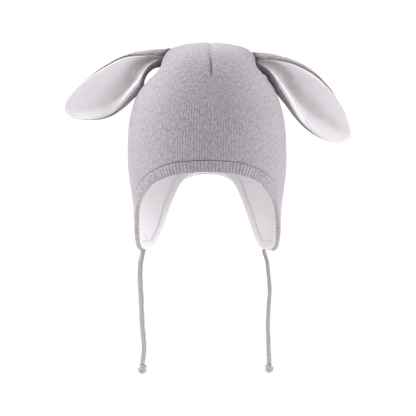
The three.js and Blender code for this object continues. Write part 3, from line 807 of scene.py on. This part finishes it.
class HAT_OT_crown(bpy.types.Operator):
    """The knitted outer wall, down to the seam of the ribbed edge"""
    bl_idname = "hat.crown"
    bl_label = "Crown"

    def execute(self, context):
        form = the_form()
        size = form.size
        panels = panel_turns(384)
        turns = np.concatenate(panels)
        steps = crown_rows(form, turns, upper=58, lower=46, end=-size.seam_gap / size.band_width)
        # The last rows turn in towards the seam.
        tuck = np.zeros(steps.shape)
        tuck[-3:] = np.array([0.03, 0.12, 0.4])[:, None]
        outside = form.point(turns, steps, -tuck)
        points, wraps = walled(form, panels, steps, outside, -size.knit_wall, every=7,
                               stitch=(size.wale_width, size.course_height))
        # Under the ears, some 23 mm below the top, the gathered knit lies in their shade, which is
        # painted into its colour.
        beside = bell(form.top - points[..., 2], 23, 21) * bell(points[..., 1], 0, 35)
        shades = 0.68 * beside * clamp(np.abs(points[..., 0]) / 16 - 1)
        piece = shaped_grid("crown_knit", points, wraps, shades)
        dress(piece, "Grey stockinette", "knit_grey", "crown_shell")
        return {"FINISHED"}


def rim_paths(form, count, shares):
    """Lines from the rim into the cloth, square to the rim, as turns and drops.

    There is one for each of count even places along the rim, with a point at each share of the
    width of the ribbed edge.
    """
    fine = np.linspace(-180, 180, FINE_TURNS)
    rim = form.plain_point(fine, form.step_at(form.rim_drop(fine)))
    run = run_along(rim)
    along = np.linspace(0, run[-1], count + 1)
    turn = np.interp(along, run, fine)
    drop = form.rim_drop(turn)
    ahead = unit(on_line(along + 0.5, run, rim, run[-1]) - on_line(along - 0.5, run, rim, run[-1]))
    there = lambda t, d: form.plain_point(t, form.step_at(d))
    turns, drops = [turn], [drop]
    for before, after in zip(shares, shares[1:]):
        across = (there(turn + 0.1, drop) - there(turn - 0.1, drop)) / 0.2
        down = (there(turn, drop + 0.1) - there(turn, drop - 0.1)) / 0.2
        inward = unit(np.cross(unit(np.cross(down, across)), ahead))
        inward *= -np.sign(np.einsum("ij,ij->i", inward, down))[:, None]
        # How far to go across and down so that the step is all inward.
        aa, ab, bb, pa, pb = (np.einsum("ij,ij->i", u, v) for u, v in (
            (across, across), (across, down), (down, down), (inward, across), (inward, down)))
        det = aa * bb - ab * ab
        run_on = (after - before) * form.size.band_width
        turn = turn + run_on * (pa * bb - pb * ab) / det
        drop = drop + run_on * (pb * aa - pa * ab) / det
        turns.append(turn)
        drops.append(drop)
    return np.array(turns), np.array(drops)


def edge_cover(turns):
    """How far the edge laps over the facing, which it does along the front of the flaps."""
    first, last = 35, 118
    beside = np.abs(wrapped(turns))
    return eased(clamp((beside - first) / 14) * clamp((last - beside) / 9))


class HAT_OT_band(bpy.types.Operator):
    """The ribbed edge, its ribs square to the rim"""
    bl_idname = "hat.band"
    bl_label = "Ribbed edge"

    def execute(self, context):
        form = the_form()
        size = form.size
        rim = form.plain_point(form.turns, form.step_at(form.rims))
        around = float(run_along(rim)[-1])
        columns = round(around / size.rib_width) * RIB_COLUMNS
        shares, bulge, strength = EDGE_ROWS.T[..., None]
        turns, drops = rim_paths(form, columns, shares[:, 0])
        steps = form.step_at(drops)
        phase = np.arange(columns + 1) / RIB_COLUMNS
        # Each rib is a rounded ridge, and the ribs differ a little.
        ridge = np.abs(np.sin(math.pi * phase)) ** 0.8
        wear = 1 + 0.16 * np.sin(phase * 2.39) + 0.1 * np.sin(phase * 0.71 + 1)
        rise = size.rib_rise * ridge * wear - size.rib_rise * 0.6
        outside = form.point(turns, steps, size.band_bulge * bulge + rise * strength)
        # Back inside: the edge is thick and rounded, and its inner face is plain rib too.
        back = INNER_ROWS[:, 0].astype(int)
        depth, lap = INNER_ROWS.T[1:, :, None]
        out = depth * size.knit_wall / 2 - 0.12 * ridge * (depth < -1.9)
        inner = form.point(turns[back], steps[back], out - lap * edge_cover(turns[back]))
        # The rim itself hangs a little lower at each rib.
        edge = form.point(turns[:1], steps[:1], -0.28)
        edge[..., 2] -= 0.1 + 0.3 * ridge
        points = np.vstack([outside[::-1], edge, inner])
        points = np.vstack([points, points[:1]])
        run = run_along(points[:, 0])[:, None]
        wraps = np.stack(np.broadcast_arrays(phase[None, :], run / size.course_height), axis=-1)
        piece = shaped_grid("rib_edge", points, wraps)
        dress(piece, "Grey rib", "rib_grey", "edge_band")
        return {"FINISHED"}


class HAT_OT_lining(bpy.types.Operator):
    """The white lining with its turned facing and the stitches that hold it"""
    bl_idname = "hat.lining"
    bl_label = "Lining"

    def execute(self, context):
        form = the_form()
        size = form.size
        back = -(size.knit_wall + size.layer_gap)
        face = back - size.lining_wall
        panels = panel_turns(312)
        turns = np.concatenate(panels)
        upper = crown_rows(form, turns, upper=48, lower=40, end=-0.12)
        across, rise = FACING_ROWS.T[..., None]
        # Its seam wavers a little, and at the flaps it ends where the ribbed edge laps over it.
        waver = 0.07 * np.sin(turns / 4.5) + 0.04 * np.sin(turns / 2.1 + 1)
        waver = waver * clamp(1 - np.abs(across - 0.1) / 0.5)
        cover = edge_cover(turns) * clamp(across * 2 - 1)
        steps = np.vstack([upper, form.band_step(turns, across + waver - 0.12 * cover)])
        extra = np.vstack([np.zeros((len(upper), 1)), rise]) * size.facing_extra
        ripple = 1 + 0.1 * np.sin(turns * 1.9) * (extra > 0)
        inside = form.point(turns, steps, face - extra * ripple)
        points, wraps = walled(form, panels, steps, inside, back, every=8, stitch=JERSEY_STITCH)
        piece = shaped_grid("lining_jersey", points, wraps)
        dress(piece, "White jersey", "jersey_white", "lining")
        self.stitch_line(form, face)
        return {"FINISHED"}

    def stitch_line(self, form, face):
        """One stitch, copied all along the seam of the facing."""
        fine = np.linspace(-180, 180, FINE_TURNS)
        line = form.point(fine, form.band_step(fine, 0.09), face + 0.1)
        normals = -form.normal(fine, form.band_step(fine, 0.1))
        run = run_along(line)
        pitch, reach = 3.1, 2.3
        count = round(run[-1] / pitch)
        sides = np.linspace(0, 2 * math.pi, 7)[None, :, None]
        ends, thick, hump = STITCH_ROWS.T[..., None]
        pieces = []
        for start in np.arange(count) / count * run[-1]:
            core, up = (on_line(start + ends[:, 0] * reach, run, given, run[-1])
                        for given in (line, normals))
            core = core - up * hump
            side = unit(np.cross(unit(np.gradient(core, axis=0)), up))
            ring = np.cos(sides) * side[:, None] + np.sin(sides) * up[:, None]
            pieces.append(shaped_grid("stitch", ring * thick[..., None] + core[:, None]))
        deselect()
        for piece in pieces:
            piece.select_set(True)
        bpy.context.view_layer.objects.active = pieces[0]
        bpy.ops.object.join()
        joined = bpy.context.object
        joined.name = joined.data.name = "facing_stitches"
        dress(joined, "White thread", "jersey_white")
        return joined


class Ear:
    """The shape of one ear, in millimetres."""

    def __init__(self, form, sizes, pose, crown):
        self.size, self.pose, self.crown = sizes, pose, crown
        self.side = pose["side"]
        self.stitch = (form.size.wale_width, form.size.course_height)
        height = form.top - pose["root_drop"] * form.size.hat_height
        root = self.seat(np.array([0.0]), np.array([height]))[0]
        self.along = np.linspace(0, 1.05, 1261)
        middle = (self.along[1:] + self.along[:-1]) / 2
        angle = table_value(pose["line"], middle, 1) * RAD
        run = np.diff(self.along) * sizes.length
        self.x = root[0] + np.concatenate([[0], np.cumsum(self.side * np.cos(angle) * run)])
        self.z = root[2] - np.concatenate([[0], np.cumsum(np.sin(angle) * run)])

    def seat(self, y, z):
        """Where lines in from the side meet the crown, a little clear of it."""
        found = []
        for ahead, up in zip(np.ravel(y), np.ravel(z)):
            start = Vector((self.side * BESIDE, ahead * MM, up * MM))
            hit, place, normal, _ = self.crown.ray_cast(start, Vector((-self.side, 0, 0)))
            if not hit:
                raise RuntimeError("the root of an ear misses the crown")
            found.append(np.array(place + normal * self.size.seat * MM) / MM)
        return np.array(found).reshape(*np.shape(y), 3)

    def row(self, along, column):
        return table_value(EAR_ROWS, along, column)

    def shape(self, along, column):
        return table_value(self.pose["shape"], along, column)

    def section(self, along, rim, out):
        """Up and toward the front in a section, so far out of the face between the layers."""
        size = self.size
        width = self.row(along, WIDTH) * size.width * self.shape(along, WIDER)
        low, trough = self.row(along, LOW), self.row(along, TROUGH) * size.trough
        roll = 90 + np.where(rim > 0, self.row(along, ROLL_UP) + self.shape(along, CURL),
                             self.row(along, ROLL_DOWN))
        turn = rim * roll * RAD
        part = np.where(rim > 0, 1 - low, low)
        opened = np.minimum(roll, 90) * RAD
        half = (part * width - size.knit_wall * self.row(along, WALL)) / np.sin(opened)
        depth = trough / (1 - np.cos(opened))
        normal = unit(np.stack([depth * np.sin(turn), -half * np.cos(turn)], axis=-1))
        up = half * np.sin(turn) + (low - 0.5) * width + out * normal[..., 0]
        front = depth * (1 - np.cos(turn)) - 0.6 * trough + out * normal[..., 1]
        return up + self.shape(along, LIFT), front

    def placed(self, along, up, front):
        # The last part is drawn together or out to its tip.
        reach = np.where(along > 0.75, 0.75 + (along - 0.75) * self.pose["tip"], along)
        x = np.interp(reach, self.along, self.x)
        z = np.interp(reach, self.along, self.z)
        lean = table_value(self.pose["line"], reach, 2) * RAD
        return np.stack([x + self.side * np.sin(lean) * up, -front, z + np.cos(lean) * up],
                        axis=-1)

    def rooted(self, face):
        """The first line of points seated on the crown, and those after it eased towards it."""
        seated = self.seat(face[0, :, 1], face[0, :, 2])
        ease = bell(np.arange(len(face)), 0, 2.2)[:, None, None]
        return face + (seated - face[0])[None] * ease

    def wall(self, along):
        return self.size.knit_wall * self.row(along, WALL)

    def gap(self, rim):
        return self.size.gap * (1 - clamp(np.abs(rim)) ** 6)

    def fleece(self, along, rim):
        """How thick the fleece stands, with the padded lip along the lower rim."""
        lower = clamp((self.shape(along, FOLD) - rim) / 0.16)
        upper = clamp((rim - 0.7) / 0.3) * 0.25
        lip = self.size.lip * self.row(along, LIP) * eased(np.maximum(lower, upper))
        return self.size.fleece_wall * self.row(along, WALL) + lip

    def pile(self, along, rim):
        return -0.2 * np.abs(np.sin(rim * 23 + 3 * np.sin(along * 37)) * np.sin(along * 61))

    def wrap(self, along, rim):
        """Stitches across and along the ear."""
        wide = self.row(along, WIDTH) * self.size.width * 0.62
        return np.stack([rim * wide / self.stitch[0] + 40,
                         along * self.size.length / self.stitch[1]], axis=-1)

    def knit_shade(self, along, rim):
        # Painted shade: dark just at the root, and a little on the upper half near the root.
        return (0.5 * bell(along, 0, 0.035)
                + 0.12 * np.exp(-(along / 0.33) ** 4) * clamp(rim * 2))

    def fleece_shade(self, along, rim):
        pose = self.pose
        # In the fold beside the padded lip the fleece gets painted shade.
        beside = rim - self.shape(along, FOLD)
        fold = clamp((pose["fold_width"] - beside) / (pose["fold_width"] - 0.14))
        fold = eased(fold * clamp((beside + 0.1) / 0.1))
        fold = fold * clamp(along / 0.12) * clamp(1.08 - 1.38 * along)
        # Painted shade at the root, on its lower part.
        root = 0.2 * bell(along, 0, 0.05) * clamp(0.4 - 1.5 * rim)
        # The trough gets painted shade too, and so does the lip where it turns to the tip.
        trough = bell(beside, 0.1, 0.28) * clamp(along * 4 - 0.6) * clamp(7 - 7 * along)
        lip = bell(along, 0.58, 0.17) * clamp(0.4 - beside * 5)
        return (pose["fold_shade"] * fold + root + pose["trough_shade"] * trough
                + pose["lip_shade"] * lip)

    def layer(self, name, near, far, shade, pile=None, over=0.0):
        """One layer as a closed piece.

        near and far are its faces, pile is the relief of the near one, and over says how far its
        rims lap over those of the other layer.
        """
        stations = np.sin(np.linspace(0, math.pi / 2, 110)) ** 1.15
        even = np.sin(np.linspace(-math.pi / 2, math.pi / 2, 57))
        even = np.sign(even) * np.abs(even) ** 0.9
        along, place = np.meshgrid(stations, even, indexing="ij")
        # The lower rim of the fleece runs on over the edge as a padded lip, by up to so many
        # degrees of its roll.
        roll = 90 + self.row(along, ROLL_DOWN)
        beyond = over * (self.row(along, LIP) + 0.1 * (along > 0.5)) / roll
        rim = place - beyond * clamp(-place) ** 2
        # Its upper rim covers the edge of the knit further out.
        rim = rim + over * 0.0052 * clamp(along * 5 - 0.8) * clamp(place) ** 3
        inner, outer = near(along, rim), far(along, rim)
        # Walls thin away to nothing at the rims and at the tip, so that each layer is closed.
        taper = np.sqrt(clamp(1 - np.abs(place) ** 12)) * np.sqrt(clamp(1 - along ** 60))
        taper *= np.sqrt(1 - clamp(1 - along / 0.015) ** 2)
        pleat = 0.5 * np.cos(rim * 9 + 0.6) * bell(along, 0, 0.06)
        faces = []
        for sign in (-1, 1):
            out = (inner + outer) / 2 + sign * (outer - inner) / 2 * taper + pleat
            if pile and sign < 0:
                out = out + pile(along, rim) * taper
            faces.append(self.rooted(self.placed(along, *self.section(along, rim, out))))
        around = lambda first, last: np.concatenate([first, last[:, -2::-1]], axis=1)
        wraps, shades = self.wrap(along, rim), clamp(shade(along, rim))
        return shaped_grid(name, around(*faces), around(wraps, wraps), around(shades, shades))


class HAT_OT_ears(bpy.types.Operator):
    """The two ears: grey knit outside, white fleece inside"""
    bl_idname = "hat.ears"
    bl_label = "Ears"

    def execute(self, context):
        form = the_form()
        sizes = in_millimetres(context.scene.ear_sizes)
        for side, pose in EAR_POSES.items():
            ear = Ear(form, sizes, pose, bpy.data.objects["crown_knit"])
            knit = ear.layer(f"ear_{side}_knit", lambda a, r: 0 * a, lambda a, r: ear.wall(a),
                             ear.knit_shade)
            dress(knit, "Grey ear knit", "knit_grey", f"ear_{side}_outer")
            white = ear.layer(f"ear_{side}_fleece", lambda a, r: -ear.gap(r) - ear.fleece(a, r),
                              lambda a, r: -ear.gap(r), ear.fleece_shade, ear.pile, over=17)
            dress(white, "White fleece", "fleece_white", f"ear_{side}_inner")
        return {"FINISHED"}


def tube(name, path, radius, sides, relief):
    """A round knitted cord along a path, closed at both ends."""
    ahead = unit(np.gradient(path, axis=0))
    up = np.zeros_like(path)
    up[0] = unit(np.cross(ahead[0], (0.0, 1.0, 0.0)))
    for i in range(1, len(path)):
        up[i] = unit(up[i - 1] - ahead[i] * np.dot(up[i - 1], ahead[i]))
    side = np.cross(ahead, up)
    angle = np.linspace(0, 2 * math.pi, sides + 1)
    reach = radius[:, None] + relief * (np.abs(np.sin(CORD_WALES * angle / 2)) - 0.5)
    turned = angle[None, :, None]
    points = path[:, None] + reach[..., None] * (
        np.cos(turned) * up[:, None] + np.sin(turned) * side[:, None])
    wraps = np.stack(np.broadcast_arrays(
        (angle * CORD_WALES / (2 * math.pi))[None, :],
        (run_along(path) / CORD_COURSE)[:, None]), axis=-1)
    first, last = (np.broadcast_to(path[end], (1, len(angle), 3)) for end in (0, -1))
    return shaped_grid(name, np.concatenate([first, points, last]),
                       np.concatenate([wraps[:1], wraps, wraps[-1:]]))


class HAT_OT_ties(bpy.types.Operator):
    """The two hanging ties, each ending in a knot"""
    bl_idname = "hat.ties"
    bl_label = "Ties"

    def execute(self, context):
        form = the_form()
        sizes = in_millimetres(context.scene.tie_sizes)
        for side, tie in TIES.items():
            given = self.line(form, sizes, side)
            path = through(given, 130)
            # The cord starts inside the edge of its flap and goes on into its knot.
            start = path[0] + np.array([[0, 0, 2.2], [0, 0, 1.4], [0, 0, 0.7]])
            finish = path[-1] + unit(path[-1] - path[-2]) * np.array([[0.5], [1.0]])
            whole = np.vstack([start, path, finish])
            count = np.arange(len(whole))
            thick = np.interp(count / count[-1], (0, 0.4, 1), tie["thick"])
            thick *= (1 + 0.03 * np.sin(count * 0.31 + tie["waver"]) + 0.02 * np.sin(count * 0.83))
            thick[:3] = (0.72, 0.8, 0.9)
            thick[-2:] = (0.86, 0.7)
            cord = tube(f"tie_{side}_cord", whole, thick * sizes.diameter / 2, sides=24, relief=0.3)
            dress(cord, "Grey cord", "cord_grey", f"tie_{side}")
            knot = self.knot(sizes, side, path[-1])
        return {"FINISHED"}

    def line(self, form, sizes, side):
        """The points of a tie, from just below the tip of its flap."""
        turn = TIES[side]["turn"]
        tip = form.point(turn, form.band_step(turn, 1), -form.size.knit_wall)
        aside = 0.6 * sizes.diameter / (form.side_radius * RAD)
        drop = form.rim_drop(turn + np.array([-aside, 0, aside])).max()
        out, ahead, down = TIES[side]["line"].T
        return np.stack([tip[0] + EAR_POSES[side]["side"] * out, tip[1] - ahead,
                         form.top - drop - sizes.gap - down], axis=1)

    def knot(self, sizes, side, end):
        """The knot that hangs just below the end of a tie."""
        path = KNOT_PATH * np.array([EAR_POSES[side]["side"], -1, 1])
        path[-2:, 2] *= TIES[side]["tail"]
        half = np.array([sizes.knot_width / 2, sizes.knot_width / 2, sizes.knot_height / 2])
        path = through(path * half * np.array([0.7, 0.66, 0.66]), 150)
        path[:, 0] += TIES[side]["lean"] * path[:, 2] * (path[:, 2] < 0)
        path = path + end + np.array([0, 0, -sizes.gap - sizes.knot_height / 2])
        thick = np.full(len(path), 2.3)
        thick[:12] = np.linspace(2.0, 2.3, 12)
        thick[-3:] = (2.2, 1.9, 1.3)
        knot = tube(f"knot_{side}_cord", path, thick, sides=20, relief=0.25)
        dress(knot, "Grey cord", "cord_grey", f"knot_{side}")
        return knot


class HAT_OT_stage(bpy.types.Operator):
    """The camera, the plain white surround and the soft light"""
    bl_idname = "hat.stage"
    bl_label = "Stage"

    def execute(self, context):
        scene = context.scene
        away = Vector((0, -math.cos(ELEVATION * RAD), math.sin(ELEVATION * RAD)))
        deselect()
        bpy.ops.object.camera_add(location=Vector(TARGET) + away * DISTANCE)
        camera = context.object
        camera.name = "camera"
        camera.rotation_euler = away.to_track_quat("Z", "Y").to_euler()
        camera.data.lens = LENS
        camera.data.sensor_width = 36
        scene.camera = camera
        self.world(scene)
        for name, (place, width, power) in LAMPS.items():
            data = bpy.data.lights.new(name, "AREA")
            data.size = width
            data.energy = power
            lamp = bpy.data.objects.new(name, data)
            lamp.location = place
            aim = Vector(place) - Vector(AIM)
            lamp.rotation_euler = aim.to_track_quat("Z", "Y").to_euler()
            context.collection.objects.link(lamp)
        scene.view_settings.view_transform = "Standard"
        return {"FINISHED"}

    def world(self, scene):
        """Soft light from all round, and plain white where the camera looks past the hat."""
        world = bpy.data.worlds.new("studio")
        world.use_nodes = True
        nodes, links = world.node_tree.nodes, world.node_tree.links
        nodes.clear()
        rays, mix, out = (nodes.new(f"ShaderNode{kind}")
                          for kind in ("LightPath", "MixShader", "OutputWorld"))
        links.new(rays.outputs["Is Camera Ray"], mix.inputs[0])
        for number, (tone, strength) in enumerate(SURROUND):
            ground = nodes.new("ShaderNodeBackground")
            ground.inputs[0].default_value = tone
            ground.inputs[1].default_value = strength
            links.new(ground.outputs[0], mix.inputs[number + 1])
        links.new(mix.outputs[0], out.inputs[0])
        scene.world = world


class HAT_PT_panel(bpy.types.Panel):
    """Every piece of the hat"""
    bl_idname = "HAT_PT_panel"
    bl_label = "Baby hat"
    bl_space_type = "VIEW_3D"
    bl_region_type = "UI"
    bl_category = "Baby hat"

    def draw(self, context):
        for name in GROUPS:
            group = getattr(context.scene, name)
            box = self.layout.box()
            for prop in group.bl_rna.properties.keys():
                if prop not in ("rna_type", "name"):
                    box.prop(group, prop)
        for operator in OPERATORS:
            self.layout.operator(operator.bl_idname)


OPERATORS = (HAT_OT_stage, HAT_OT_ties, HAT_OT_crown, HAT_OT_band, HAT_OT_lining, HAT_OT_ears)
GROUPS = {"hat_sizes": HatSizes, "ear_sizes": EarSizes, "tie_sizes": TieSizes,
          "hat_colours": HatColours}


def register():
    for name, group in GROUPS.items():
        bpy.utils.register_class(group)
        setattr(bpy.types.Scene, name, bpy.props.PointerProperty(type=group))
    for cls in (*OPERATORS, HAT_PT_panel):
        bpy.utils.register_class(cls)


def unregister():
    for cls in (HAT_PT_panel, *reversed(OPERATORS)):
        bpy.utils.unregister_class(cls)
    for name, group in GROUPS.items():
        delattr(bpy.types.Scene, name)
        bpy.utils.unregister_class(group)


def main():
    register()
    bpy.ops.hat.stage()
    bpy.ops.hat.ties()
    bpy.ops.hat.crown()
    bpy.ops.hat.band()
    bpy.ops.hat.lining()
    bpy.ops.hat.ears()


if __name__ == "__main__":
    main()
